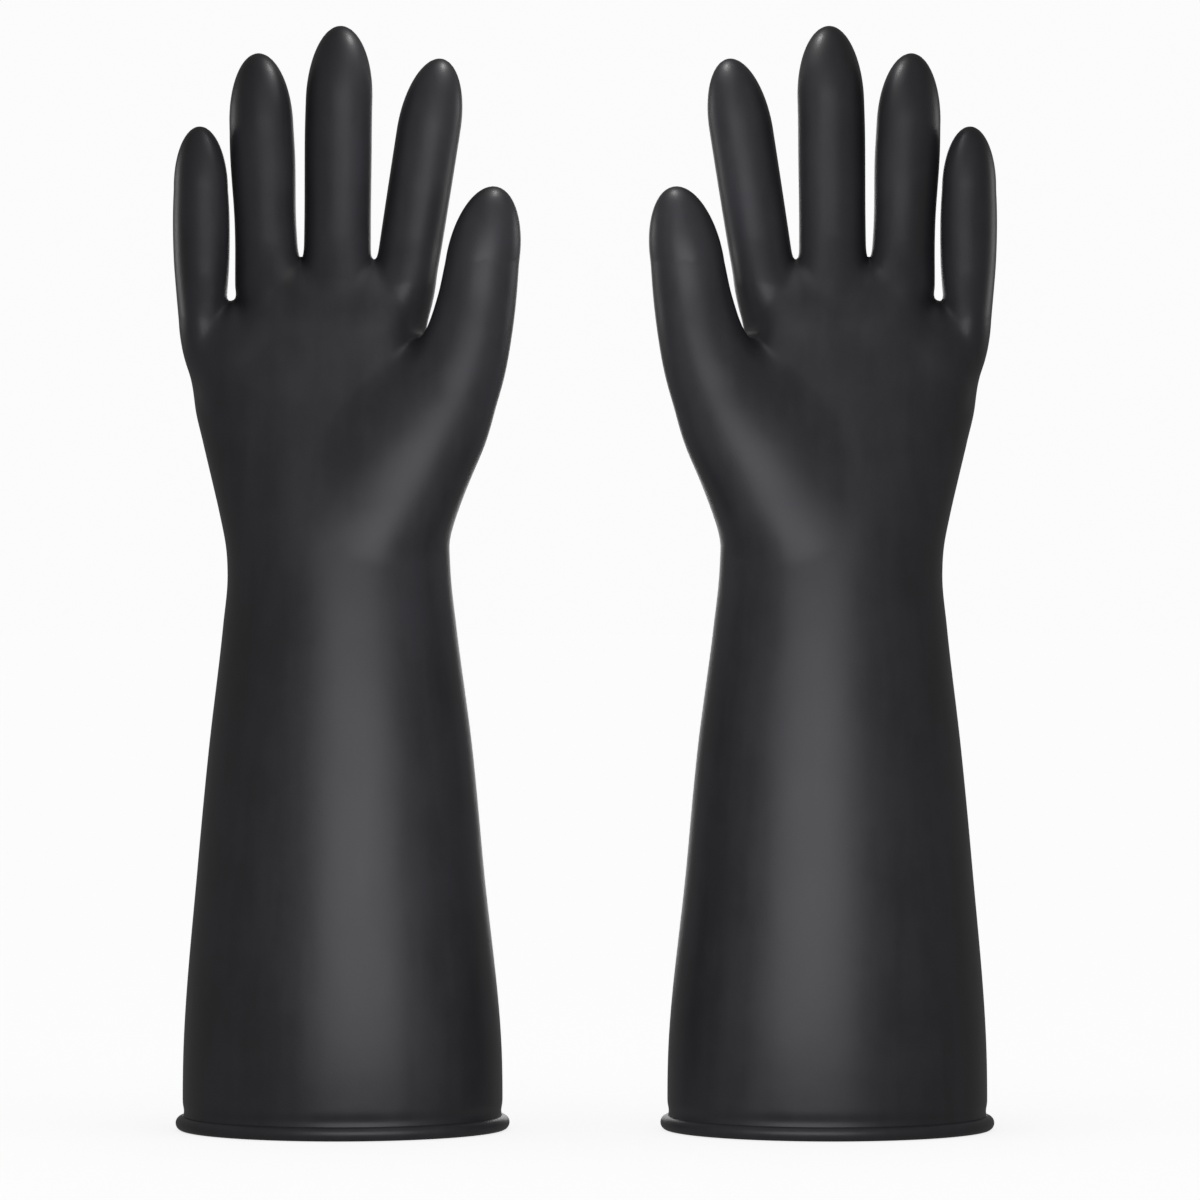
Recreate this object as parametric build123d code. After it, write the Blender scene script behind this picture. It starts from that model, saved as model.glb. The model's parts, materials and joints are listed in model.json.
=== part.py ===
from build123d import *
import os
from math import atan2, cos, degrees, hypot, radians, sin, sqrt, tan

# A pair of moulded rubber insulating gloves, standing on their rolled cuffs with the fingers up.
# Millimetres. +Z runs up the gloves and -Y is the palm side. The right-hand glove stands at -X with its
# thumb towards +X, and the left-hand glove is its mirror image at +X. The origin is on the floor, midway
# between the two cuffs. Each glove is one moulded shell, modelled as segments that part at its flex lines.
# Sizes of a glove are given about its own axis, and its heights from the wrist line unless they say so.

# ---- Shell ----
wall = 2.0  # rubber thickness
glove_spacing = 180.6  # between the axes of the two gloves

# ---- Cuff and forearm sleeve ----
gauntlet_length = 206.0  # from the floor to the wrist line
cuff_half_width = 59.6
cuff_half_depth = 50.0
cuff_straight = 26.0  # height above the floor at which the sleeve starts to taper
bead_radius = 2.8
bead_flat_depth = 0.3  # how far the bead is flattened where it stands on the floor

# ---- Wrist, the narrowest oval ----
wrist_half_width = 41.6
wrist_half_depth = 33.5
wrist_shift = -1.3  # of the oval's centre, away from the thumb

# ---- Palm, from the wrist line to the knuckle line ----
knuckle_height = 102.0
knuckle_half_width = 48.7
knuckle_half_depth = 17.0
knuckle_shift = -13.2
palm_crown = 6.0  # the palm closes within this height above the knuckle line
crown_inset = 1.5  # and draws in by this much as it closes

# ---- Fingers ----
# root_x is each finger's place at its root flex line. root, bend and tip are heights. lean is the angle in
# degrees from upright, towards the thumb. nose is the length of the rounded end and tip_round the radius of
# its very tip.
fingers = {
    "index": dict(
        root_x=26.4, root=130.0, bend=158.5, tip=192.0, lean=9.0, radius=11.7, nose=25.0, tip_round=6.4
    ),
    "middle": dict(
        root_x=-1.9, root=131.0, bend=163.0, tip=204.0, lean=0.6, radius=12.4, nose=27.0, tip_round=6.8
    ),
    "ring": dict(
        root_x=-28.7, root=129.0, bend=158.5, tip=194.0, lean=-2.2, radius=11.8, nose=26.0, tip_round=6.4
    ),
    "little": dict(
        root_x=-52.6, root=117.0, bend=138.5, tip=167.0, lean=-0.3, radius=10.3, nose=22.0, tip_round=5.4
    ),
}
base_curl = 3.0  # degrees that the finger's base leans to the palm side as moulded
tip_curl = 9.0  # and its tip
tip_taper = 0.4  # radius lost between the bend and the nose
pad_swell = 1.0  # radius gained at the pad below the root flex line
pad_depth = 26.0  # how far the widest part of the pad is below that line
pad_foot_radius = 4.0  # where the finger's base ends inside the palm, as far again below

# ---- Thumb ----
thumb_heel = (15.5, -5.0, 8.0)  # start of the thumb base's axis, deep in the heel of the hand
thumb_root = (50.0, -13.0, 103.0)  # its end, at the thumb's flex line
thumb_tip = 143.5  # height
thumb_lean = 9.5
thumb_curl = 10.0
thumb_radius = 14.2
thumb_nose = 28.0
thumb_tip_round = 7.8
thumb_heel_radius = 23.0
thumb_ball_radius = 20.6
thumb_ball_share = 0.6  # how far along the thumb base the ball's radius is taken

# ---- Flex lines ----
wrist_flex = 30.0  # degrees, both ways
root_flex = 45.0  # degrees, towards the palm
bend_flex = 60.0
thumb_flex = 45.0
flex_spare = 1.5  # degrees of room left at the limit
flex_gap = 0.6  # between two segments at their hinge line

overrun = 5.0  # how far a plain end passes a cut
cutter_size = 150.0  # more than any segment is wide or long


# ---- Sections and solids of revolution ----
def oval_at(height, shift, half_width, half_depth, inset):
    return Pos(shift, 0, height) * Ellipse(half_width - inset, half_depth - inset).face()


def between(start, end, share):
    return start + (end - start) * share


def sleeve(inset):
    # Straight at the cuff, then tapering evenly to the wrist.
    ovals = [oval_at(0, 0, cuff_half_width, cuff_half_depth, inset)]
    for share in (0.0, 0.35, 0.7, 1.0):
        height = between(cuff_straight, gauntlet_length, share)
        shift = wrist_shift * share
        width = between(cuff_half_width, wrist_half_width, share)
        depth = between(cuff_half_depth, wrist_half_depth, share)
        ovals.append(oval_at(height, shift, width, depth, inset))
    end_height = gauntlet_length + overrun
    ovals.append(oval_at(end_height, wrist_shift, wrist_half_width, wrist_half_depth, inset))
    return loft(ovals)


def palm(inset):
    # From the wrist's oval to a wide flat oval at the knuckles, closed above them between the fingers.
    start_height = gauntlet_length - overrun
    ovals = [oval_at(start_height, wrist_shift, wrist_half_width, wrist_half_depth, inset)]
    for share in (0.0, 0.25, 0.5, 0.75, 1.0):
        height = gauntlet_length + knuckle_height * share
        shift = between(wrist_shift, knuckle_shift, share)
        width = between(wrist_half_width, knuckle_half_width, share)
        depth = between(wrist_half_depth, knuckle_half_depth, share)
        ovals.append(oval_at(height, shift, width, depth, inset))
    top = gauntlet_length + knuckle_height + palm_crown - inset
    closing = inset + crown_inset
    ovals.append(oval_at(top, knuckle_shift, knuckle_half_width, knuckle_half_depth, closing))
    return loft(ovals)


def turned(points, inset):
    # Turned about Z through (height, radius) points, with flat ends.
    rim = [(radius - inset, height) for height, radius in points]
    side = Line(*rim) if len(rim) == 2 else Spline(*rim)
    closing = Polyline(rim[-1], (0, rim[-1][1]), (0, rim[0][1]), rim[0])
    return revolve(Plane.XZ * make_face([side, closing]), Axis.Z)


def turned_tip(start, top, nose, tip_round, inset):
    # A taper from one (height, radius) point to another, closed by a nose of two tangent arcs.
    height, radius = top
    tip_centre = nose - tip_round
    side_radius = (radius**2 + tip_centre**2 - tip_round**2) / (2 * (radius - tip_round))
    slope = atan2(tip_centre, side_radius - radius)  # of the line through both arcs' centres
    side_arc = side_radius - inset
    tip_arc = tip_round - inset

    def on_side(angle):
        return radius - side_radius + side_arc * cos(angle), height + side_arc * sin(angle)

    def on_tip(angle):
        return tip_arc * cos(angle), height + tip_centre + tip_arc * sin(angle)

    end = (0, height + nose - inset)
    first = (start[1] - inset, start[0])
    outline = [
        Line(first, on_side(0)),
        ThreePointArc(on_side(0), on_side(slope / 2), on_tip(slope)),
        ThreePointArc(on_tip(slope), on_tip((slope + radians(90)) / 2), end),
        Polyline(end, (0, start[0]), first),
    ]
    return revolve(Plane.XZ * make_face(outline), Axis.Z)


# ---- Directions, frames and flex lines ----
def along(lean, curl):
    # Unit vector up a finger that leans sideways and curls to the palm side.
    return Vector(sin(radians(lean)), -tan(radians(curl)), cos(radians(lean))).normalized()


def finger_frame(origin, lean, curl):
    # Z up the finger, X along its hinge line, and so -Y towards the palm.
    hinge = Vector(cos(radians(lean)), 0, -sin(radians(lean)))
    return Plane(origin=origin, x_dir=hinge, z_dir=along(lean, curl))


def beyond(frame, front, back):
    # The space past a flex line. Its faces open by these angles on the palm side and the back.
    half = flex_gap / 2
    front_rise = half + cutter_size * tan(radians(front))
    back_rise = half + cutter_size * tan(radians(back))
    outline = Polyline(
        (0, half),
        (cutter_size, back_rise),
        (cutter_size, 2 * cutter_size),
        (-cutter_size, 2 * cutter_size),
        (-cutter_size, front_rise),
        close=True,
    )
    # The outline is drawn in the frame's YZ plane and extruded along the hinge line.
    profile = Plane.YZ * make_face(outline)
    return frame.location * extrude(profile, cutter_size, both=True)


def before(frame, front, back):
    # The space on the near side of a flex line, the mirror image of the space past it.
    half = flex_gap / 2
    front_drop = half + cutter_size * tan(radians(front))
    back_drop = half + cutter_size * tan(radians(back))
    outline = Polyline(
        (0, -half),
        (cutter_size, -back_drop),
        (cutter_size, -2 * cutter_size),
        (-cutter_size, -2 * cutter_size),
        (-cutter_size, -front_drop),
        close=True,
    )
    profile = Plane.YZ * make_face(outline)
    return frame.location * extrude(profile, cutter_size, both=True)


def opening_angle(flex):
    # Each of the two faces at a flex line takes half of its travel.
    return flex / 2 + flex_spare / 2


wrist_frame = Plane(origin=(0, 0, gauntlet_length))
wrist_open = opening_angle(wrist_flex)
root_open = opening_angle(root_flex)
bend_open = opening_angle(bend_flex)
thumb_open = opening_angle(thumb_flex)


# ---- Fingers ----
def hollow_tip(start, top, nose, tip_round):
    return turned_tip(start, top, nose, tip_round, 0) - turned_tip(start, top, nose, tip_round, wall)


def finger(size):
    # The solids of one finger: its base within the hand, outer and inner, and its two free segments.
    lean = size["lean"]
    radius = size["radius"]
    root = Vector(size["root_x"], 0, gauntlet_length + size["root"])
    base_up = along(lean, base_curl)
    tip_up = along(lean, tip_curl)
    lower_length = (size["bend"] - size["root"]) / base_up.Z
    upper_length = (size["tip"] - size["bend"]) / tip_up.Z
    bend = root + base_up * lower_length
    root_frame = finger_frame(root, lean, base_curl)
    bend_frame = finger_frame(bend, lean, base_curl)
    tip_frame = finger_frame(bend, lean, tip_curl)

    base_points = [
        (-2 * pad_depth, pad_foot_radius),
        (-pad_depth, radius + pad_swell),
        (-pad_depth / 2, radius + pad_swell / 3),
        (overrun, radius),
    ]
    base_outer = root_frame.location * turned(base_points, 0) & before(root_frame, root_open, 0)
    base_inner = root_frame.location * turned(base_points, wall)

    lower_points = [(-overrun, radius), (lower_length + overrun, radius)]
    lower = root_frame.location * (turned(lower_points, 0) - turned(lower_points, wall))
    lower = lower & beyond(root_frame, root_open, 0) & before(bend_frame, bend_open, 0)

    start = (-overrun, radius)
    top = (upper_length - size["nose"], radius - tip_taper)
    upper = hollow_tip(start, top, size["nose"], size["tip_round"])
    upper = tip_frame.location * upper & beyond(bend_frame, bend_open, 0)
    return base_outer, base_inner, lower, upper


# ---- Thumb ----
def thumb():
    # The thumb's base within the hand, outer and inner, and its free end.
    root = Vector(*thumb_root) + Vector(0, 0, gauntlet_length)
    heel = Vector(*thumb_heel) + Vector(0, 0, gauntlet_length)
    base_vector = root - heel
    base_length = base_vector.length
    base_lean = degrees(atan2(base_vector.X, base_vector.Z))
    base_slope = degrees(atan2(-base_vector.Y, hypot(base_vector.X, base_vector.Z)))
    base_frame = finger_frame(heel, base_lean, base_slope)
    root_frame = finger_frame(root, thumb_lean, thumb_curl)

    base_points = [
        (0, thumb_heel_radius),
        (base_length * thumb_ball_share, thumb_ball_radius),
        (base_length, thumb_radius),
        (base_length + 2 * overrun, thumb_radius - 1.0),
    ]
    base_outer = base_frame.location * turned(base_points, 0) & before(root_frame, thumb_open, 0)
    base_inner = base_frame.location * turned(base_points, wall)

    length = (thumb_tip - thumb_root[2]) / along(thumb_lean, thumb_curl).Z
    start = (-overrun, thumb_radius)
    top = (length - thumb_nose, thumb_radius - tip_taper)
    free = hollow_tip(start, top, thumb_nose, thumb_tip_round)
    free = root_frame.location * free & beyond(root_frame, thumb_open, 0)
    return base_outer, base_inner, free


# ---- One glove ----
def glove():
    nodes = {}
    bead_centre = bead_radius - bead_flat_depth
    bead_seat = bead_centre + sqrt(bead_radius**2 - (wall / 2) ** 2)  # the bead is as wide as the wall here
    path = Edge.make_ellipse(cuff_half_width - wall / 2, cuff_half_depth - wall / 2)
    path = Pos(0, 0, bead_centre) * path
    ring = sweep(Plane(origin=path @ 0, z_dir=path % 0) * Circle(bead_radius), path)
    height = bead_seat / 2
    slab = Pos(0, 0, height) * Box(4 * cuff_half_width, 4 * cuff_half_depth, bead_seat)
    nodes["cuff_bead"] = ring & slab

    above_bead = Pos(0, 0, bead_seat + cutter_size) * Box(2 * cutter_size, 2 * cutter_size, 2 * cutter_size)
    shell = sleeve(0) - sleeve(wall)
    nodes["gauntlet"] = shell & above_bead & before(wrist_frame, wrist_open, wrist_open)

    outer = palm(0)
    inner = palm(wall)
    for name, size in fingers.items():
        base_outer, base_inner, lower, upper = finger(size)
        outer = outer + base_outer
        inner = inner + base_inner
        nodes[name + "_lower"] = lower
        nodes[name + "_upper"] = upper
    base_outer, base_inner, free = thumb()
    outer = outer + base_outer
    inner = inner + base_inner
    nodes["hand"] = (outer - inner) & beyond(wrist_frame, wrist_open, wrist_open)
    nodes["thumb"] = free
    return nodes


# ---- The pair ----
os.makedirs("parts", exist_ok=True)
for name, solid in glove().items():
    right = Pos(-glove_spacing / 2, 0, 0) * solid
    export_step(right, f"parts/right_{name}.step")
    export_step(mirror(right, Plane.YZ), f"parts/left_{name}.step")
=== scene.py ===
import bpy
import json
import numpy as np
from math import radians
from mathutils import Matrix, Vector


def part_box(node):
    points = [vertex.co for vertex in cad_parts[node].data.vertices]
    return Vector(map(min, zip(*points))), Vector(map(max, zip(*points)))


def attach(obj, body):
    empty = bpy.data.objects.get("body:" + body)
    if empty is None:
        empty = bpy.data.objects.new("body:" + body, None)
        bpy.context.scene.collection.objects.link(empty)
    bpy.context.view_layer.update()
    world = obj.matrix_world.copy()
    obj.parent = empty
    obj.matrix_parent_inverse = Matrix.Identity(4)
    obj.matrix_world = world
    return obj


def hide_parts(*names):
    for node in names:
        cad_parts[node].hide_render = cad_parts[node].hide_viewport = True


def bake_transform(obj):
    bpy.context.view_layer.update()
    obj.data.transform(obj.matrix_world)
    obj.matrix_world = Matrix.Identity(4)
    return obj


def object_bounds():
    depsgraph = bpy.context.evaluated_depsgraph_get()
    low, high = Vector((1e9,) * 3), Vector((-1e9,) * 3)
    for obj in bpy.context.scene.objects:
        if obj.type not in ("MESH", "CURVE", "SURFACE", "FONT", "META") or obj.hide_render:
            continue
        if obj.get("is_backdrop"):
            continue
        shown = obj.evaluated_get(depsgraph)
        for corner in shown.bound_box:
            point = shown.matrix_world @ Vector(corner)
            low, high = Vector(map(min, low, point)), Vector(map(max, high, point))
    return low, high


# A pair of dip-moulded black rubber insulating gloves, standing on their rolled cuffs.
# Both gloves are worked out in one glove's own millimetres: x towards the thumb, y towards the back of
# the hand, z up from the floor. The left-hand glove is the right-hand one mirrored.

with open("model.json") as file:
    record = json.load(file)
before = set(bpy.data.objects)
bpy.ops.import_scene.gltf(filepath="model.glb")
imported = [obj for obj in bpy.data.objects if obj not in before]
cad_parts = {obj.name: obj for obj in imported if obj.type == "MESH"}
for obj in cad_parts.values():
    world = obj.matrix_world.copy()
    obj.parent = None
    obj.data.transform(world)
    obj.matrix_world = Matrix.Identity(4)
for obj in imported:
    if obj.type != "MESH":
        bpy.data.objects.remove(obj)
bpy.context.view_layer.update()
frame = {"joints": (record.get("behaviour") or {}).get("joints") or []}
jointAt = {joint["name"]: joint for joint in frame["joints"]}


def boxOf(node):
    low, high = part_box(node)
    return np.array(low) * 1000, np.array(high) * 1000


beadLow, beadHigh = boxOf("right_cuff_bead")
gloveAxis = (beadLow[0] + beadHigh[0]) / 2  # x of the right-hand glove's own axis, mm from the middle


def pivotOf(name):
    # A joint's point, in the glove's own millimetres
    point = np.array(jointAt["right_" + name]["pos_m"]) * 1000
    return point - np.array([gloveAxis, 0, 0])


def topOf(node):
    return boxOf("right_" + node)[1][2]


def curveThrough(heights, values, z):
    # A smooth curve through points, straight beyond its ends: cubic pieces whose slope at each point is
    # the slope between its two neighbours
    x = np.asarray(heights, float)
    y = np.asarray(values, float)
    slope = np.gradient(y, x)
    z = np.clip(z, x[0], x[-1])
    i = np.clip(np.searchsorted(x, z) - 1, 0, len(x) - 2)
    h = x[i + 1] - x[i]
    t = (z - x[i]) / h
    return (
        (1 + 2 * t) * (1 - t) ** 2 * y[i]
        + t * (1 - t) ** 2 * h * slope[i]
        + t * t * (3 - 2 * t) * y[i + 1]
        + t * t * (t - 1) * h * slope[i + 1]
    )


def softStep(a, b, z):
    # 0 before a, 1 past b, and three times the share's square less twice its cube between them
    t = np.clip((z - a) / (b - a), 0, 1)
    return t * t * (3 - 2 * t)


def melt(a, b, softness):
    # The smaller of two distances, less a quarter of the softness where they are equal, falling to
    # nothing where they differ by the softness
    gap = np.maximum(softness - np.abs(a - b), 0) / softness
    return np.minimum(a, b) - gap * gap * softness / 4


def ovalTube(p, middleX, middleY, wide, deep, noseStart, nose, tailStart=-1e3, tail=1.0, power=2.0):
    # Distance outside an upright oval tube with a rounded top, and a rounded tail where one is given: the
    # length of the point's place in a tube of size one, less one, times the tube's smaller radius. The
    # length is taken with a power above two where the oval is squarer than an ellipse.
    across = np.abs(p[:, 0] - middleX) / wide
    through = np.abs(p[:, 1] - middleY) / deep
    above = np.maximum(p[:, 2] - noseStart, 0) / nose
    below = np.maximum(tailStart - p[:, 2], 0) / tail
    reach = (across**power + through**power + above**power + below**power) ** (1 / power)
    return (reach - 1) * np.minimum(wide, deep)


wall = 2.0  # mm of rubber

cuffShape = {
    "beadRadius": 2.7,
    "beadOut": 0.9,  # how far the roll's middle stands out from the middle of the wall
    "beadFlat": 0.3,  # how far the roll is flattened where it stands
    "beadGrid": (256, 28),  # points round the cuff, and round the roll
    "pinch": 0.5,  # the sleeve is drawn in a little where the roll was turned
    "pinchAt": 6.8,
    "pinchHeight": 2.2,
}

sleeveShape = {
    # heights, and at each the outline's two sides and half the depth; the palm is part of the sleeve
    "heights": [-10, 0, 26, 98, 142, 187, 206, 216, 229, 242, 256, 270, 284, 298, 312, 326],
    "outerSide": [
        59.6, 59.6, 59.4, 54.0, 49.8, 44.6, 42.9, 43.4, 45.9, 49.0, 52.4, 55.4, 55.2, 54.2, 54.8, 56.0
    ],
    "thumbSide": [
        59.6, 59.6, 59.4, 52.5, 48.3, 42.4, 40.3, 39.8, 39.2, 38.6, 38.0, 36.4, 33.6, 31.0, 29.5, 28.0
    ],
    "halfDepth": [
        50.0, 50.0, 49.8, 43.9, 39.9, 35.4, 33.4, 32.3, 30.6, 28.6, 26.4, 24.2, 22.0, 19.6, 17.0, 14.0
    ],
    "squareness": (2.0, 2.8),  # power of the oval: an ellipse at the wrist, a rounded slab at the knuckles
    "squareBetween": (212.0, 286.0),
    "palmTop": (318.0, 303.5),  # where the palm closes between the fingers, and beside the little finger
    "palmTopBetween": (-24.0, -42.0),
    "palmNose": 22.0,  # and over what height
    "handFrom": 180.0,  # fingers and thumb have no part in the skin below this
}


def sleeveField(p):
    # An oval tube with the sleeve's sides at each height, squarer and turned at the palm, and drawn in by a
    # bell curve above the bead
    s = sleeveShape
    z = p[:, 2]
    outer = curveThrough(s["heights"], s["outerSide"], z)
    inner = curveThrough(s["heights"], s["thumbSide"], z)
    deep = curveThrough(s["heights"], s["halfDepth"], z)
    power = s["squareness"][0]
    power = power + (s["squareness"][1] - s["squareness"][0]) * softStep(*s["squareBetween"], z)
    closing = softStep(*s["palmTopBetween"], p[:, 0])
    top = s["palmTop"][0] + (s["palmTop"][1] - s["palmTop"][0]) * closing
    turn = palmShape["turn"] * softStep(*palmShape["turnFrom"], z) * softStep(*palmShape["turnEnds"], z)
    middleX = (inner - outer) / 2
    middleY = (middleX + palmShape["turnAbout"] - p[:, 0]) * turn
    fromPinch = (z - cuffShape["pinchAt"]) / cuffShape["pinchHeight"]
    pinch = cuffShape["pinch"] * np.exp(-(fromPinch**2))
    wide = (inner + outer) / 2 - pinch
    deep = deep - pinch
    noseStart = top - s["palmNose"]
    return ovalTube(p, middleX, middleY, wide, deep, noseStart, s["palmNose"], power=power)


fingerShape = {
    # radii from the root to the tip's start, sideways and front to back, then the rounded end's length, how
    # far the tip drifts sideways, and how far the pad at the finger's foot swells forward
    "index": dict(
        wide=[11.6, 11.8, 11.9, 11.9], deep=[13.6, 12.0, 11.8, 11.6], nose=26.0, drift=0.0, pad=1.6
    ),
    "middle": dict(
        wide=[12.6, 12.4, 12.5, 12.4], deep=[14.2, 12.6, 12.4, 12.2], nose=27.0, drift=0.8, pad=1.8
    ),
    "ring": dict(
        wide=[12.2, 11.5, 12.1, 11.9], deep=[13.8, 12.2, 12.0, 11.8], nose=26.5, drift=0.3, pad=1.8
    ),
    "little": dict(
        wide=[8.6, 10.4, 10.4, 10.1], deep=[11.8, 10.8, 10.4, 10.2], nose=23.0, drift=0.0, pad=1.6
    ),
}
fingerBend = {
    "widthsAt": (-22.0, 2.0),  # heights of the first two radii, from the root flex line
    "padBetween": (-4.0, -22.0),  # where the pad below that line swells to the palm side
    "straightBelow": -30.0,  # the finger's lean to the palm side goes on down to here
    "tail": (-20.0, 18.0),  # where its foot starts to round off inside the palm, and over what height
    "curlFrom": -8.0,  # from the middle flex line, where the tip starts to curl to the palm side
    "curl": 0.0022,  # mm for each square mm above that
}
fingerAxis = {}
for name in fingerShape:
    root = pivotOf(name + "_root_flex")
    bend = pivotOf(name + "_middle_flex")
    tip = topOf(name + "_upper")
    up = (bend - root) / np.linalg.norm(bend - root)
    fingerAxis[name] = dict(root=root, bend=bend, tip=tip, up=up)


def fingerField(name, p):
    # An oval tube along the line from the root flex to the middle flex, whose tip curls with the square
    # of its height
    shape, axis, b = fingerShape[name], fingerAxis[name], fingerBend
    root, bend, tip = axis["root"], axis["bend"], axis["tip"]
    z = p[:, 2]
    noseStart = tip - shape["nose"]
    lean = (bend[0] - root[0]) / (bend[2] - root[2])
    curl = (bend[1] - root[1]) / (bend[2] - root[2])
    along = softStep(bend[2], tip, z)
    middleX = root[0] + lean * (z - root[2]) + shape["drift"] * along
    tipward = np.maximum(z - bend[2] - b["curlFrom"], 0)
    middleY = root[1] + curl * np.maximum(z - root[2], b["straightBelow"]) - tipward**2 * b["curl"]
    padTop, padFoot = (root[2] + h for h in b["padBetween"])
    middleY = middleY - shape["pad"] * softStep(padTop, padFoot, z)
    stations = [root[2] + b["widthsAt"][0], root[2] + b["widthsAt"][1], bend[2], noseStart]
    wide = curveThrough(stations, shape["wide"], z)
    deep = curveThrough(stations, shape["deep"], z)
    tailStart, tail = root[2] + b["tail"][0], b["tail"][1]
    return ovalTube(p, middleX, middleY, wide, deep, noseStart, shape["nose"], tailStart, tail)


thumbShape = {
    # heights, and at each the middle's place across and forward, and the radii sideways and front to back
    "heights": [200, 222, 241, 255, 268, 281, 295, 309, 322],
    "across": [4.0, 13.0, 21.0, 27.5, 34.0, 40.5, 46.8, 50.3, 52.3],
    "forward": [4.0, 6.5, 8.6, 10.0, 11.2, 12.2, 12.9, 13.2, 15.0],
    "wide": [16.0, 22.0, 25.2, 25.6, 23.2, 20.3, 16.5, 14.7, 13.7],
    "deep": [18.0, 20.5, 20.0, 19.2, 17.8, 16.2, 14.8, 14.2, 13.4],
    "tipLean": (0.15, 0.2),  # mm outwards and forwards for each mm above the last height
    "tip": (56.3, -21.0),  # x and y of its very end
    "nose": 27.6,
    "softAtHeel": 12.0,  # how softly it melts into the palm, low down and at the crotch
    "softAtCrotch": 4.3,
    "softBetween": (264.0, 303.0),
    "softFrom": (181.0, 232.0),  # heights over which the melting comes in
    "softLeast": 0.01,
}


def thumbField(p):
    # An oval tube along a curve, which starts inside the heel of the hand
    s = thumbShape
    z = p[:, 2]
    noseStart = topOf("thumb") - s["nose"]
    beyond = np.maximum(z - s["heights"][-1], 0)
    middleX = curveThrough(s["heights"], s["across"], z) + beyond * s["tipLean"][0]
    middleY = -curveThrough(s["heights"], s["forward"], z) - beyond * s["tipLean"][1]
    wide = curveThrough(s["heights"], s["wide"], z)
    deep = curveThrough(s["heights"], s["deep"], z)
    return ovalTube(p, middleX, middleY, wide, deep, noseStart, s["nose"])


palmShape = {
    "turn": 0.11,  # how far the palm faces the little finger's side, mm back per mm across
    "turnAbout": 8.0,  # from this far past the middle
    "turnFrom": (214.0, 262.0),  # heights over which it comes in
    "turnEnds": (330.0, 296.0),  # and goes again
    "hollow": dict(at=(2.0, 276.0), spread=(20.0, 26.0), depth=1.6),
    "crook": dict(at=(30.0, 295.0), spread=(18.0, 18.0), depth=2.6),  # beside the thumb's crease
    "dentBetween": (4.0, -12.0),  # the dents are in the palm side only
}


def dent(p, shape):
    # A soft round dent in the palm side: a bell curve across and up
    dx = (p[:, 0] - shape["at"][0]) / shape["spread"][0]
    dz = (p[:, 2] - shape["at"][1]) / shape["spread"][1]
    front = softStep(*palmShape["dentBetween"], p[:, 1])
    return shape["depth"] * np.exp(-(dx * dx + dz * dz)) * front


webShape = {
    "crotchHeights": {"index": 322.2, "middle": 320.8, "ring": 308.2},  # on the finger's outer side
    "size": (5.5, 10.5, 13.0),
    "back": -0.5,  # y of the web's middle
    "softness": 1.6,  # how softly finger and web meet
    "softBetween": (342.0, 326.0),
    "softLeast": 0.2,
    "softBelow": 8.0,  # more under the crotches, so that the fingers run together in the palm
    "softBelowFrom": (325.0, 13.0),  # the height where that starts, and how much lower by the little finger
    "softBelowOver": 30.0,
    "softToPalm": 7.5,
}


def ball(p, at, size):
    # Distance outside an egg: the length of the point's place in a ball of size one, less one, times the
    # egg's smallest radius
    d = (p - np.array(at)) / np.array(size)
    return (np.sqrt((d * d).sum(axis=1)) - 1) * min(size)


def webField(p, near, far):
    # An egg under the crotch, halfway between the facing sides of two fingers at the crotch's height
    crotch, size = webShape["crotchHeights"][near], webShape["size"]
    sides = []
    for name, sign in ((near, -1), (far, 1)):
        axis = fingerAxis[name]
        lean = axis["up"][0] / axis["up"][2]
        side = axis["root"][0] + lean * (crotch - axis["root"][2]) + sign * fingerShape[name]["wide"][1]
        sides.append(side)
    middle = (sides[0] + sides[1]) / 2
    return ball(p, (middle, webShape["back"], crotch - size[2]), size)


def gloveField(p):
    # Below zero inside the glove's outer skin, zero on it, and roughly the distance outside: the sleeve,
    # the fingers with their webs, and the thumb, melted together in that order
    skin = sleeveField(p)
    high = p[:, 2] > sleeveShape["handFrom"]
    if not high.any():
        return skin
    q = p[high]
    w = webShape
    level, lower = w["softBelowFrom"]
    level = level - lower * softStep(*sleeveShape["palmTopBetween"], q[:, 0])
    soft = w["softLeast"] + w["softness"] * softStep(*w["softBetween"], q[:, 2])
    soft = soft + w["softBelow"] * softStep(0, w["softBelowOver"], level - q[:, 2])
    order = list(fingerShape)
    fingers = fingerField(order[0], q)
    for name in order[1:]:
        fingers = melt(fingers, fingerField(name, q), soft)
    for near, far in zip(order, order[1:]):
        fingers = melt(fingers, webField(q, near, far), soft)
    hand = melt(skin[high], fingers, w["softToPalm"])
    hand = hand + dent(q, palmShape["hollow"]) + dent(q, palmShape["crook"])
    t = thumbShape
    softness = t["softAtHeel"] + (t["softAtCrotch"] - t["softAtHeel"]) * softStep(*t["softBetween"], q[:, 2])
    softness = np.maximum(softness * softStep(*t["softFrom"], q[:, 2]), t["softLeast"])
    skin[high] = melt(hand, thumbField(q), softness)
    return skin


def slopeOf(p, step=0.05):
    # The field's slope along each axis: its difference a short step each way, over twice the step
    g = np.empty_like(p)
    for k in range(3):
        shift = np.zeros(3)
        shift[k] = step
        g[:, k] = (gloveField(p + shift) - gloveField(p - shift)) / (2 * step)
    return g


def settle(p, rounds=4):
    # Moves points onto the skin: each round goes down the slope by the field over the slope's square
    for _ in range(rounds):
        g = slopeOf(p)
        p = p - (gloveField(p) / np.maximum((g * g).sum(axis=1), 1e-9))[:, None] * g
    return p


def outwardOf(p):
    # The slope, made one long
    g = slopeOf(p)
    return g / np.linalg.norm(g, axis=1)[:, None]


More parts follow.
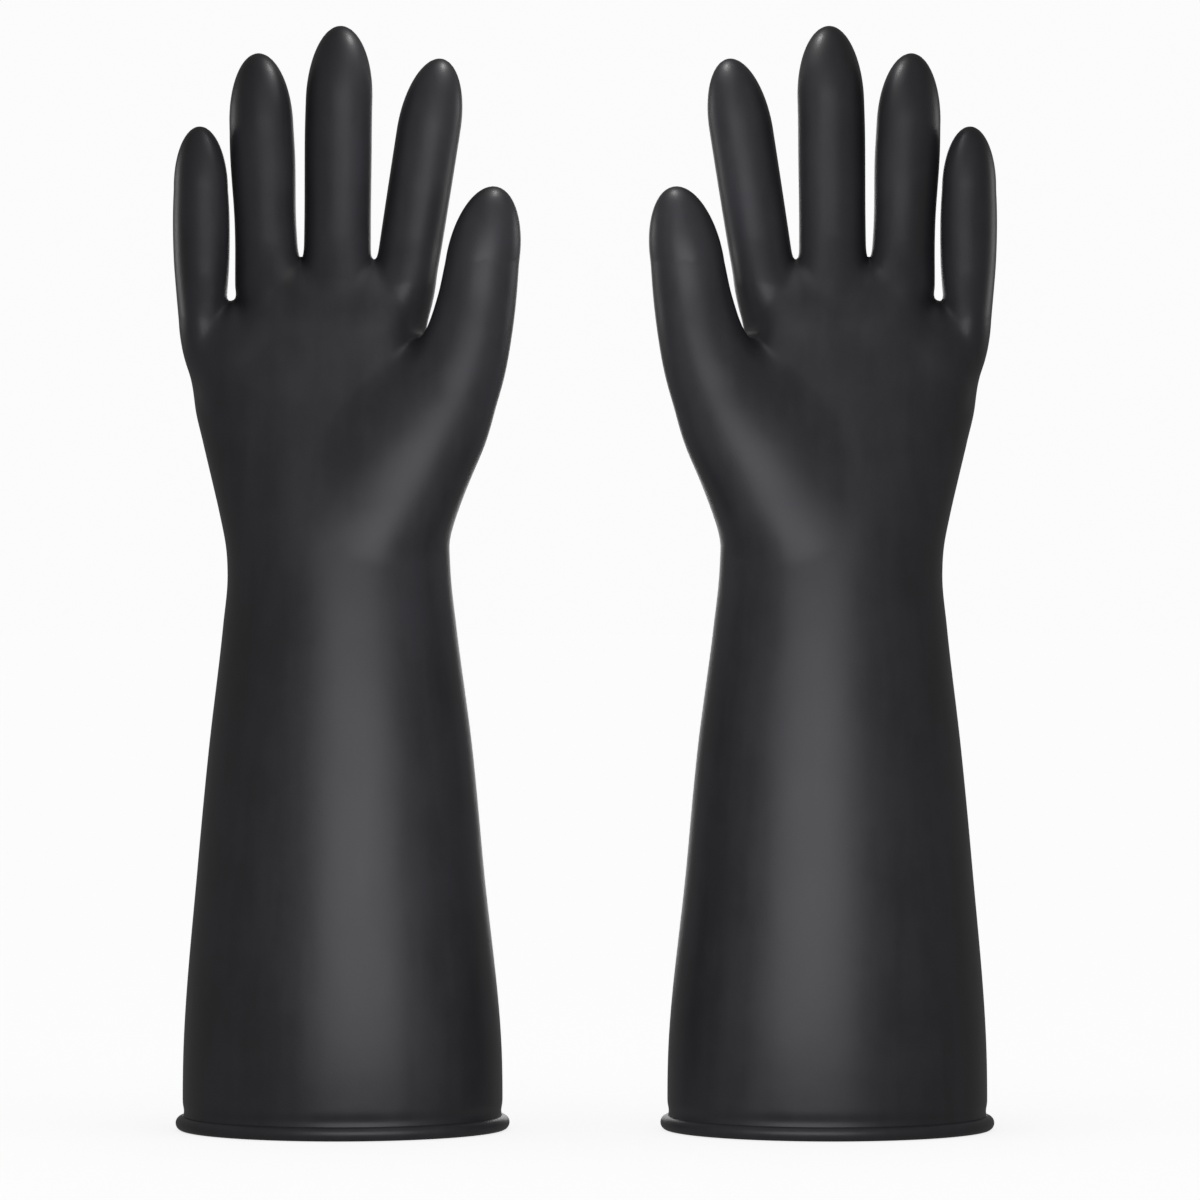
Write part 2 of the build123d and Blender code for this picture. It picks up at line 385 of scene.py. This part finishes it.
def reachFrom(centres, directions, longest, steps=16, halvings=14):
    # Distance from each centre to the first place where its ray leaves the skin: even steps first, from
    # the far end back, then halving inside the step that crosses
    first = np.ones(len(centres)) * longest
    for k in range(steps - 1, 0, -1):
        at = longest * k / steps
        outside = gloveField(centres + directions * at[:, None]) > 0
        first = np.where(outside, at, first)
    low, high = first - longest / steps, first
    for _ in range(halvings):
        middle = (low + high) / 2
        inside = gloveField(centres + directions * middle[:, None]) < 0
        low = np.where(inside, middle, low)
        high = np.where(inside, high, middle)
    return (low + high) / 2


def linked(thing):
    # Puts an object in the scene
    bpy.context.scene.collection.objects.link(thing)
    return thing


def openEdgesOf(tris, count):
    # The edges that only one triangle has: each edge gets one number from its two ends, and is counted
    edges = np.concatenate([tris[:, [0, 1]], tris[:, [1, 2]], tris[:, [2, 0]]])
    ends = np.sort(edges, axis=1)
    _, first, uses = np.unique(ends[:, 0] * count + ends[:, 1], return_index=True, return_counts=True)
    return edges[first[uses == 1]]


def shellMesh(name, points, faces, normals, rimAxis, mirrored):
    # Outer skin plus the inner wall one thickness inside it, joined round every open edge.
    # points and normals are the outer skin's; rimAxis holds, for each point on an open edge, the
    # direction across that edge's plane, so that the rim stays flat.
    count = len(points)
    inward = -normals.copy()
    onRim = np.abs(rimAxis).sum(axis=1) > 0
    flat = inward[onRim] - (inward[onRim] * rimAxis[onRim]).sum(axis=1)[:, None] * rimAxis[onRim]
    inward[onRim] = flat / np.linalg.norm(flat, axis=1)[:, None]
    inner = points + inward * wall
    start, end = openEdgesOf(faces, count).T
    rim = np.concatenate(
        [np.stack([end, start, start + count], axis=1), np.stack([end, start + count, end + count], axis=1)]
    )
    allPoints = np.concatenate([points, inner])
    allFaces = np.concatenate([faces, faces[:, ::-1] + count, rim])
    a, b, c = (allPoints[rim[:, k]] for k in range(3))
    across = np.cross(b - a, c - a)
    across /= np.maximum(np.linalg.norm(across, axis=1), 1e-12)[:, None]
    rimNormals = np.repeat(across[:, None, :], 3, axis=1)
    loopNormals = np.concatenate([normals[faces], (-normals)[faces[:, ::-1]], rimNormals])
    if mirrored:
        allPoints = allPoints * np.array([-1, 1, 1])
        loopNormals = loopNormals[:, ::-1] * np.array([-1, 1, 1])
        allFaces = allFaces[:, ::-1]
    side = -1 if mirrored else 1
    allPoints = (allPoints + np.array([gloveAxis * side, 0, 0])) / 1000
    mesh = bpy.data.meshes.new(name)
    mesh.vertices.add(len(allPoints))
    mesh.vertices.foreach_set("co", allPoints.astype(np.float32).ravel())
    mesh.loops.add(allFaces.size)
    mesh.loops.foreach_set("vertex_index", allFaces.astype(np.int32).ravel())
    mesh.polygons.add(len(allFaces))
    mesh.polygons.foreach_set("loop_start", np.arange(0, allFaces.size, 3, dtype=np.int32))
    mesh.update(calc_edges=True)
    mesh.validate()
    mesh.polygons.foreach_set("use_smooth", np.ones(len(allFaces), bool))
    mesh.normals_split_custom_set(loopNormals.reshape(-1, 3).astype(np.float32))
    return linked(bpy.data.objects.new(name, mesh))


def gridFaces(rows, columns, closedTop):
    # Triangles of a grid that closes round its columns, with one more point as its pole if asked
    row, column = np.meshgrid(np.arange(rows - 1), np.arange(columns), indexing="ij")
    a = (row * columns + column).ravel()
    b = (row * columns + (column + 1) % columns).ravel()
    c, d = b + columns, a + columns
    faces = np.concatenate([np.stack([a, b, c], axis=1), np.stack([a, c, d], axis=1)])
    if closedTop:
        ring = (rows - 1) * columns + np.arange(columns)
        pole = np.full(columns, rows * columns)
        faces = np.concatenate([faces, np.stack([ring, np.roll(ring, -1), pole], axis=1)])
    return faces


def tubeSkin(centres, up, columns, room, nose=None):
    # Rings about an axis: each ring's points lie straight out from its centre, on the skin. With a nose,
    # further rings rise from the last centre towards up, to a pole. room is how far a point may lie
    # sideways, front to back and upwards, short of the next finger: an egg that the search stays in.
    side = np.cross([0.0, 1.0, 0.0], up)
    side /= np.linalg.norm(side)
    depth = np.cross(up, side)
    turn = np.linspace(0, 2 * np.pi, columns, endpoint=False)
    flat = np.cos(turn)[:, None] * side + np.sin(turn)[:, None] * depth
    directions = np.tile(flat, (len(centres), 1))
    origins = np.repeat(centres, columns, axis=0)
    if nose:
        rise = np.linspace(0, np.pi / 2, nose + 1)[1:-1]
        risen = np.cos(rise)[:, None, None] * flat + np.sin(rise)[:, None, None] * np.array(up)
        directions = np.concatenate([directions, risen.reshape(-1, 3), [up]])
        origins = np.concatenate([origins, np.repeat(centres[-1:], len(risen) * columns + 1, axis=0)])
    inEgg = directions @ np.array([side, depth, up]).T / np.array(room)
    limit = 1 / np.linalg.norm(inEgg, axis=1)
    points = origins + directions * reachFrom(origins, directions, limit)[:, None]
    rows = len(centres) + (nose - 1 if nose else 0)
    return points, gridFaces(rows, columns, bool(nose))


def netSkin(low, high, step):
    # The skin inside a box: one point in each cell that it crosses, at the mean of the crossings on the
    # cell's edges, and a square across each grid edge that it crosses
    axes = [np.arange(a, b, step) for a, b in zip(low, high)]
    grid = np.stack(np.meshgrid(*axes, indexing="ij"), axis=-1)
    shape = grid.shape[:3]
    value = gloveField(grid.reshape(-1, 3)).reshape(shape)
    inside = value < 0
    cells = tuple(n - 1 for n in shape)
    total = np.zeros(cells + (3,))
    hits = np.zeros(cells)

    def cornerOf(start):
        x, y, z = start
        return value[x : cells[0] + x, y : cells[1] + y, z : cells[2] + z]

    for k in range(3):
        for u in (0, 1):
            for v in (0, 1):
                start = [0, 0, 0]
                start[(k + 1) % 3], start[(k + 2) % 3] = u, v
                end = list(start)
                end[k] = 1
                a, b = cornerOf(start), cornerOf(end)
                cross = (a < 0) != (b < 0)
                share = np.where(cross, a / np.where(cross, a - b, 1), 0)
                offset = np.array(start, float) * np.ones(cells + (1,))
                offset[..., k] += share
                total += np.where(cross[..., None], offset, 0)
                hits += cross
    used = hits > 0
    index = np.full(cells, -1)
    index[used] = np.arange(used.sum())
    cellAt = np.stack(np.nonzero(used), axis=1)
    points = np.array(low) + (cellAt + total[used] / hits[used][:, None]) * step
    quads = []
    for k in range(3):
        m, n = (k + 1) % 3, (k + 2) % 3
        a = np.take(inside, range(shape[k] - 1), axis=k)
        b = np.take(inside, range(1, shape[k]), axis=k)
        at = np.stack(np.nonzero(a != b), axis=1)
        at = at[(at[:, m] > 0) & (at[:, n] > 0) & (at[:, m] < cells[m]) & (at[:, n] < cells[n])]
        ring = []
        for dm, dn in ((0, 0), (-1, 0), (-1, -1), (0, -1)):
            cell = at.copy()
            cell[:, m] += dm
            cell[:, n] += dn
            ring.append(index[cell[:, 0], cell[:, 1], cell[:, 2]])
        quad = np.stack(ring, axis=1)
        leaving = a[at[:, 0], at[:, 1], at[:, 2]]
        quad[~leaving] = quad[~leaving][:, ::-1]
        quads.append(quad)
    quads = np.concatenate(quads)
    return points, quads[(quads >= 0).all(axis=1)]


def evenOut(points, quads, rounds=3):
    # Each point moves half of the way to the mean of its neighbours, then back onto the skin
    pairs = np.concatenate([quads[:, [k, (k + 1) % 4]] for k in range(4)])
    pairs = np.concatenate([pairs, pairs[:, ::-1]])
    here, there = pairs.T
    count = np.bincount(here, minlength=len(points))
    for _ in range(rounds):
        sums = [np.bincount(here, weights=points[there, k], minlength=len(points)) for k in range(3)]
        total = np.stack(sums, axis=1)
        points = points + 0.5 * (total / count[:, None] - points)
        points = settle(points, 2)
    return points


def cutAt(points, tris, planeAt, planeUp, near, keepBelow):
    # Cuts the mesh straight across at a plane, and drops what lies past it, within the part that near
    # picks. A triangle with one corner on its own side of the plane is cut on that corner's two edges,
    # each at the share of the edge that the two heights give: the corner's side is one triangle, and the
    # other side two.
    height = (points - planeAt) @ planeUp * (1 if keepBelow else -1)
    chosen = near(points[tris].mean(axis=1))
    past = height[tris] > 0
    whole = ~chosen | ~past.any(axis=1)
    crossed = chosen & past.any(axis=1) & ~past.all(axis=1)
    cut, pastCut = tris[crossed], past[crossed]
    lonePast = pastCut.sum(axis=1) == 1
    lone = np.argmax(pastCut == lonePast[:, None], axis=1)
    order = (lone[:, None] + np.arange(3)) % 3
    a, b, c = np.take_along_axis(cut, order, axis=1).T
    edges = np.sort(np.concatenate([np.stack([a, b], axis=1), np.stack([a, c], axis=1)]), axis=1)
    edges, place = np.unique(edges, axis=0, return_inverse=True)
    low, high = edges.T
    share = (height[low] / (height[low] - height[high]))[:, None]
    added = points[low] + share * (points[high] - points[low])
    ab, ac = place.reshape(2, -1) + len(points)
    kept = np.concatenate(
        [
            tris[whole],
            np.stack([a, ab, ac], axis=1)[~lonePast],
            np.stack([ab, b, c], axis=1)[lonePast],
            np.stack([ab, c, ac], axis=1)[lonePast],
        ]
    )
    used, kept = np.unique(kept, return_inverse=True)
    return np.concatenate([points, added])[used], kept.reshape(-1, 3)


seams = {
    # where one piece of skin ends and the next starts, measured along the finger from its flex line, mm
    "index": dict(root=(-9.5, 12.0), bend=(-14.5, 14.5)),
    "middle": dict(root=(-10.5, 13.0), bend=(-16.0, 16.0)),
    "ring": dict(root=(-10.0, 12.5), bend=(-14.5, 15.0)),
    "little": dict(root=(-9.5, 8.5), bend=(-11.5, 11.5)),
    "thumb": (-2.0, 23.0),
    "wrist": (-28.0, 26.0),
    "ownSkin": 3.5,  # mm from a digit's own tube, within which the skin is taken as that digit's
    "ownBelow": 4.0,  # and how far below its seam
}
meshing = {
    "fingerColumns": 96,
    "fingerRing": 1.3,  # mm between rings
    "noseRings": 26,
    "noseFrom": 0.9,  # of the rounded end's length below the tip
    "fingerRoom": (5.0, 24.0, 8.0),  # past the finger's radius, front to back, and past its rounded end
    "thumbRoom": (5.0, 28.0, 8.0),
    "sleeveColumns": 224,
    "sleeveRing": 2.2,
    "footRing": 0.5,  # finer by the cuff
    "footTop": 12.0,
    "footGap": 1.2,
    "sleeveRoom": (90.0, 90.0, 90.0),
    "sleeveCentre": ([0, 200, 240], [0, -1.3, 0]),  # heights, and x of the rings' centres there
    "handBox": ((-74.0, -46.0), (78.0, 40.0, 342.0)),
    "handBelow": 4.0,  # the hand's box starts this far under the sleeve's top
    "cellSize": 1.3,
    "rimRadius": (26.0, 90.0),  # how far a rim reaches from its seam's middle, on a digit and at the wrist
}
wristAt = pivotOf("wrist_bend")
sleeveTop = wristAt[2] + seams["wrist"][1]
upright = np.array([0.0, 0.0, 1.0])


def centresAlong(start, stop, at, up):
    count = max(3, int(round((stop - start) / meshing["fingerRing"])) + 1)
    return np.array(at) + np.linspace(start, stop, count)[:, None] * np.array(up)


print("working out the sleeve, the fingers and the thumb")
skins = {}


def addSkin(name, points, faces, planes):
    # Keeps a piece's outer skin, its normals, and the plane that each open edge lies in
    rimAxis = np.zeros_like(points)
    for at, up in planes:
        onPlane = np.abs((points - at) @ up) < 1e-3
        rimAxis[onPlane] = up
    skins[name] = (points, faces, outwardOf(points), rimAxis)


# the sleeve, from the bead's middle to the heel of the hand
sleeveFoot = beadHigh[2] * 0.5
foot = np.arange(sleeveFoot, meshing["footTop"], meshing["footRing"])
rest = np.arange(foot[-1] + meshing["footGap"], sleeveTop - 1, meshing["sleeveRing"])
heights = np.concatenate([foot, rest, [sleeveTop]])
middleX = curveThrough(*meshing["sleeveCentre"], heights)
centres = np.stack([middleX, np.zeros_like(heights), heights], axis=1)
points, faces = tubeSkin(centres, upright, meshing["sleeveColumns"], meshing["sleeveRoom"])
ends = [(np.array([0, 0, sleeveTop]), upright), (np.array([0, 0, sleeveFoot]), upright)]
addSkin("gauntlet", points, faces, ends)

for name, axis in fingerAxis.items():
    up, root, bend, shape = axis["up"], axis["root"], axis["bend"], fingerShape[name]
    joint = (bend - root) @ up
    rootFrom, rootTo = seams[name]["root"]
    bendFrom = seams[name]["bend"][0]
    middle = (rootTo + joint + bendFrom) / 2
    lower = centresAlong(rootFrom, middle, root, up)
    sideways, through, past = meshing["fingerRoom"]
    room = (max(shape["wide"][1:]) + sideways, through, shape["nose"] + past)
    points, faces = tubeSkin(lower, up, meshing["fingerColumns"], room)
    addSkin(name + "_lower", points, faces, [(lower[0], up), (lower[-1], up)])
    length = (axis["tip"] - bend[2]) / up[2]
    upper = centresAlong(middle, joint + length - shape["nose"] * meshing["noseFrom"], root, up)
    points, faces = tubeSkin(upper, up, meshing["fingerColumns"], room, meshing["noseRings"])
    addSkin(name + "_upper", points, faces, [(upper[0], up)])
    axis["seam"] = root + rootFrom * up

thumbRoot = pivotOf("thumb_flex")
thumbTip = np.array([*thumbShape["tip"], topOf("thumb")])
thumbUp = (thumbTip - thumbRoot) / np.linalg.norm(thumbTip - thumbRoot)
thumbLength = (thumbTip - thumbRoot) @ thumbUp
noseAt = thumbLength - thumbShape["nose"] * meshing["noseFrom"]
tubes = centresAlong(seams["thumb"][0], noseAt, thumbRoot, thumbUp)
sideways, through, past = meshing["thumbRoom"]
room = (thumbShape["wide"][-2] + sideways, through, thumbShape["nose"] + past)
points, faces = tubeSkin(tubes, thumbUp, meshing["fingerColumns"], room, meshing["noseRings"])
addSkin("thumb", points, faces, [(tubes[0], thumbUp)])

print("working out the hand")
handLow, handHigh = meshing["handBox"]
points, quads = netSkin((*handLow, sleeveTop - meshing["handBelow"]), handHigh, meshing["cellSize"])
points = evenOut(settle(points), quads)
tris = np.concatenate([quads[:, [0, 1, 2]], quads[:, [0, 2, 3]]])
digits = list(fingerAxis) + ["thumb"]


def nearest(centres):
    # Which digit's own tube a point is least far outside, and how far
    away = np.array([fingerField(name, centres) for name in fingerAxis] + [thumbField(centres)])
    return np.array(digits)[np.argmin(away, axis=0)], np.min(away, axis=0)


planes = []
for name in digits:
    at, up = (tubes[0], thumbUp) if name == "thumb" else (fingerAxis[name]["seam"], fingerAxis[name]["up"])

    def mine(centres, name=name, at=at, up=up):
        who, away = nearest(centres)
        return (who == name) & (away < seams["ownSkin"]) & ((centres - at) @ up > -seams["ownBelow"])

    points, tris = cutAt(points, tris, at, up, mine, True)
    planes.append((at, up, meshing["rimRadius"][0]))
floorOfHand = np.array([0, 0, sleeveTop])
points, tris = cutAt(points, tris, floorOfHand, upright, lambda c: np.ones(len(c), bool), False)
planes.append((floorOfHand, upright, meshing["rimRadius"][1]))
rimAxis = np.zeros_like(points)
onEdge = np.zeros(len(points), bool)
onEdge[openEdgesOf(tris, len(points)).ravel()] = True
for at, up, radius in planes:
    onPlane = (np.abs((points - at) @ up) < 1e-2) & (np.linalg.norm(points - at, axis=1) < radius)
    rimAxis[onEdge & onPlane] = up
print("hand: open-edge points without a plane:", int((onEdge & (np.abs(rimAxis).sum(axis=1) == 0)).sum()))
skins["hand"] = (points, tris, outwardOf(points), rimAxis)

print("making the rubber")


def linear(hexColour):
    # sRGB hex to linear values: a dark channel over 12.92, a brighter one to the power 2.4 after adding
    # 0.055 and dividing by 1.055
    c = np.array([int(hexColour[i : i + 2], 16) for i in (1, 3, 5)]) / 255
    return (*np.where(c <= 0.04045, c / 12.92, ((c + 0.055) / 1.055) ** 2.4).tolist(), 1.0)


def addNode(tree, kind, settings=None, values=None, links=None):
    # One node: settings are its own options, values go on its sockets, links come from other sockets
    node = tree.nodes.new(kind)
    for name, value in (settings or {}).items():
        setattr(node, name, value)
    for name, value in (values or {}).items():
        node.inputs[name].default_value = value
    for name, source in (links or {}).items():
        tree.links.new(source, node.inputs[name])
    return node


rubberLook = {
    # Black natural rubber built up on a porcelain form by dipping in rubber cement: even and satin, with
    # soft cloudy patches where it dried, faint runs down its length, and the fine tooth of the form
    "darker": "#29292b",
    "lighter": "#302f33",
    "cloudSize": 34.0,  # mm across a cloudy patch
    "cloudDetail": (5.0, 0.62),  # levels of smaller patches, and how strong each is against the last
    "runWidth": 7.0,  # mm between runs
    "runLength": 9.0,  # and how many times as long they are
    "runDetail": (3.0, 0.5),
    "runShare": 0.35,  # of the runs in the mottle, the rest being clouds
    "toneBetween": (0.36, 0.64),  # the mottle's values that give the darker and the lighter colour
    "dullBetween": (0.3, 0.7),  # and those that give the two roughnesses
    "roughness": (0.37, 0.47),
    "grainSize": 0.9,  # mm; the real tooth is about 0.3 mm, drawn coarser so that it shows
    "grainDepth": 0.022,  # mm
    "grainDetail": (2.0, 0.5),
    "rippleSize": 16.0,  # mm, slow unevenness of the dipped coat
    "rippleDepth": 0.16,  # mm
    "rippleDetail": (1.0, 0.4),
    "ior": 1.52,
    "specular": 0.42,
}
look = rubberLook
rubber = bpy.data.materials.new("dippedBlackRubber")
rubber.use_nodes = True
tree = rubber.node_tree
shader = tree.nodes["Principled BSDF"]
shader.inputs["IOR"].default_value = look["ior"]
shader.inputs["Specular IOR Level"].default_value = look["specular"]
place = addNode(tree, "ShaderNodeTexCoord").outputs["Object"]
stretched = addNode(
    tree, "ShaderNodeMapping", None, {"Scale": (1.0, 1.0, 1 / look["runLength"])}, {"Vector": place}
)
noises = {}
for name, size, source in (
    ("cloud", look["cloudSize"], place),
    ("run", look["runWidth"], stretched.outputs["Vector"]),
    ("grain", look["grainSize"], place),
    ("ripple", look["rippleSize"], place),
):
    detail, strength = look[name + "Detail"]
    values = {"Scale": 1000 / size, "Detail": detail, "Roughness": strength}
    noises[name] = addNode(tree, "ShaderNodeTexNoise", None, values, {"Vector": source}).outputs["Fac"]
mottle = addNode(
    tree,
    "ShaderNodeMix",
    {"data_type": "FLOAT"},
    {"Factor": look["runShare"]},
    {"A": noises["cloud"], "B": noises["run"]},
).outputs["Result"]
low, high = look["toneBetween"]
tone = addNode(
    tree,
    "ShaderNodeMapRange",
    {"interpolation_type": "SMOOTHSTEP"},
    {"From Min": low, "From Max": high},
    {"Value": mottle},
)
colour = addNode(
    tree,
    "ShaderNodeMix",
    {"data_type": "RGBA"},
    {"A": linear(look["darker"]), "B": linear(look["lighter"])},
    {"Factor": tone.outputs["Result"]},
)
low, high = look["dullBetween"]
smoothest, dullest = look["roughness"]
dull = addNode(
    tree,
    "ShaderNodeMapRange",
    None,
    {"From Min": low, "From Max": high, "To Min": smoothest, "To Max": dullest},
    {"Value": mottle},
)
slow = addNode(
    tree,
    "ShaderNodeBump",
    None,
    {"Strength": 1.0, "Distance": look["rippleDepth"] / 1000},
    {"Height": noises["ripple"]},
)
fine = addNode(
    tree,
    "ShaderNodeBump",
    None,
    {"Strength": 1.0, "Distance": look["grainDepth"] / 1000},
    {"Height": noises["grain"], "Normal": slow.outputs["Normal"]},
)
tree.links.new(colour.outputs["Result"], shader.inputs["Base Color"])
tree.links.new(dull.outputs["Result"], shader.inputs["Roughness"])
tree.links.new(fine.outputs["Normal"], shader.inputs["Normal"])

print("making the pieces")
pieces = {}
for side, mirrored in (("right", False), ("left", True)):
    for name, (points, faces, normals, rimAxis) in skins.items():
        piece = shellMesh(f"{side}_{name}_skin", points, faces, normals, rimAxis, mirrored)
        piece.data.materials.append(rubber)
        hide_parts(f"{side}_{name}")
        pieces[side, name] = piece


def beadMesh(name, mirrored):
    # A round roll carried along the cuff's oval: each point of the oval plus a circle in the plane of the
    # oval's outward direction and up, and flat where it would go under the floor
    around, about = cuffShape["beadGrid"]
    r = cuffShape["beadRadius"]
    half = sleeveShape["outerSide"][1] - wall / 2 + cuffShape["beadOut"]
    deep = sleeveShape["halfDepth"][1] - wall / 2 + cuffShape["beadOut"]
    t = np.linspace(0, 2 * np.pi, around, endpoint=False)
    x, y = half * np.cos(t), deep * np.sin(t)
    nx, ny = deep * np.cos(t), half * np.sin(t)
    length = np.hypot(nx, ny)
    nx, ny = nx / length, ny / length
    a = np.linspace(0, 2 * np.pi, about, endpoint=False)
    out, rise = r * np.cos(a), r * np.sin(a)
    px = x[:, None] + nx[:, None] * out
    py = y[:, None] + ny[:, None] * out
    pz = np.maximum(r - cuffShape["beadFlat"] + rise, 0) + 0 * px
    points = np.stack([px, py, pz], axis=-1).reshape(-1, 3)
    i, j = np.meshgrid(np.arange(around), np.arange(about), indexing="ij")
    i, j = i.ravel(), j.ravel()
    nextI, nextJ = (i + 1) % around, (j + 1) % about
    faces = np.stack(
        [i * about + j, nextI * about + j, nextI * about + nextJ, i * about + nextJ], axis=1
    )
    if mirrored:
        points = points * np.array([-1, 1, 1])
        faces = faces[:, ::-1]
    points = (points + np.array([gloveAxis * (-1 if mirrored else 1), 0, 0])) / 1000
    mesh = bpy.data.meshes.new(name)
    mesh.from_pydata(points.tolist(), [], faces.tolist())
    mesh.shade_smooth()
    return linked(bpy.data.objects.new(name, mesh))


for side, mirrored in (("right", False), ("left", True)):
    piece = beadMesh(f"{side}_cuff_bead_skin", mirrored)
    piece.data.materials.append(rubber)
    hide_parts(f"{side}_cuff_bead")
    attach(piece, f"{side}_gauntlet")
    pieces[side, "cuff_bead"] = piece


for side in ("right", "left"):
    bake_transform(pieces[side, "gauntlet"])
    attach(pieces[side, "hand"], f"{side}_hand")
    for name, axis in fingerAxis.items():
        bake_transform(pieces[side, name + "_lower"])
        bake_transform(pieces[side, name + "_upper"])
    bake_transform(pieces[side, "thumb"])

print("floor, light and camera")
stageLook = {
    "floorSize": 30.0,  # metres from the middle to its edge
    "floorDrop": 0.0002,
    "floorColour": (0.86, 0.86, 0.86),
    "floorRoughness": 0.9,
    "floorSpecular": 0.1,
    "floorGlow": 0.80,
    "surround": 0.20,  # grey that the gloves are lit by and reflect
    "backdrop": 0.97,  # and the paler one that the camera sees
}
far = stageLook["floorSize"]
floorMesh = bpy.data.meshes.new("floor")
floorMesh.from_pydata([(-far, -far, 0), (far, -far, 0), (far, far, 0), (-far, far, 0)], [], [(0, 1, 2, 3)])
floor = linked(bpy.data.objects.new("floor", floorMesh))
floor.location.z = -stageLook["floorDrop"]
floor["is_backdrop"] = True
paleFloor = bpy.data.materials.new("paleFloor")
paleFloor.use_nodes = True
base = paleFloor.node_tree.nodes["Principled BSDF"]
base.inputs["Base Color"].default_value = (*stageLook["floorColour"], 1)
base.inputs["Roughness"].default_value = stageLook["floorRoughness"]
base.inputs["Specular IOR Level"].default_value = stageLook["floorSpecular"]
base.inputs["Emission Color"].default_value = (1, 1, 1, 1)
base.inputs["Emission Strength"].default_value = stageLook["floorGlow"]
floorMesh.materials.append(paleFloor)
floor.visible_glossy = False
floor.visible_diffuse = False

world = bpy.data.worlds.new("studio")
world.use_nodes = True
bpy.context.scene.world = world
tree = world.node_tree
path = addNode(tree, "ShaderNodeLightPath")
mix = addNode(
    tree,
    "ShaderNodeMix",
    {"data_type": "RGBA"},
    {"A": (*[stageLook["surround"]] * 3, 1), "B": (*[stageLook["backdrop"]] * 3, 1)},
    {"Factor": path.outputs["Is Camera Ray"]},
)
tree.links.new(mix.outputs["Result"], tree.nodes["Background"].inputs["Color"])

softLights = {
    # place and target in metres, width and height, watts
    "frontStrip": ((0, -0.34, 0.15), (0, 0, 0.15), (0.34, 0.27), 0.75),
    "betweenTheHands": ((0, -0.13, 0.37), (0, 0.02, 0.36), (0.10, 0.14), 0.11),
    "behind": ((0, 0.50, 0.24), (0, 0, 0.20), (0.34, 0.40), 0.8),
    "leftRim": ((-0.38, 0.13, 0.355), (-0.13, 0, 0.345), (0.26, 0.12), 0.011),
    "rightRim": ((0.38, 0.13, 0.355), (0.13, 0, 0.345), (0.26, 0.12), 0.011),
}
lamps = {
    # place in metres, radius, watts
    "overhead": ((0, -0.05, 0.50), 0.10, 0.30),
    "fingertipSpark": ((0, -0.045, 0.495), 0.015, 0.45),
}
stripColour = (0.97, 0.955, 1.0)
rimSpread = 30  # degrees


def groupOf(name, members):
    # A collection for a light to be kept to
    group = bpy.data.collections.new(name)
    for member in members:
        group.objects.link(member)
    return group


lights = {}
gloves = groupOf("gloves", pieces.values())  # the close lights are for the gloves, not for the floor
for name, (at, towards, size, power) in softLights.items():
    data = bpy.data.lights.new(name, "AREA")
    data.shape = "RECTANGLE"
    data.size, data.size_y = size
    data.energy = power
    light = linked(bpy.data.objects.new(name, data))
    light.location = at
    light.rotation_euler = (Vector(towards) - Vector(at)).to_track_quat("-Z", "Y").to_euler()
    light.visible_camera = False
    light.light_linking.receiver_collection = gloves
    lights[name] = light
for name, (at, radius, power) in lamps.items():
    data = bpy.data.lights.new(name, "POINT")
    data.energy = power
    data.shadow_soft_size = radius
    lamp = linked(bpy.data.objects.new(name, data))
    lamp.location = at
    lamp.visible_camera = False
    lights[name] = lamp
lights["frontStrip"].data.color = stripColour
lights["betweenTheHands"].visible_glossy = False
for name in ("leftRim", "rightRim"):
    lights[name].data.spread = radians(rimSpread)
tips = [piece for (side, name), piece in pieces.items() if name.endswith("_upper") or name == "thumb"]
spark = lights["fingertipSpark"]  # only the small bright spots on the tips
spark.visible_diffuse = False
spark.light_linking.receiver_collection = groupOf("fingertips", tips)

cameraLook = dict(lens=169, sensor=36, at=(0.0056, -2.1, 0.197), clipEnd=100)
camera = bpy.data.cameras.new("camera")
camera.lens = cameraLook["lens"]
camera.sensor_width = cameraLook["sensor"]
camera.clip_end = cameraLook["clipEnd"]
view = linked(bpy.data.objects.new("camera", camera))
view.location = cameraLook["at"]
view.rotation_euler = (radians(90), 0, 0)
bpy.context.scene.camera = view
bpy.context.scene.view_settings.view_transform = "Standard"

low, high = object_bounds()
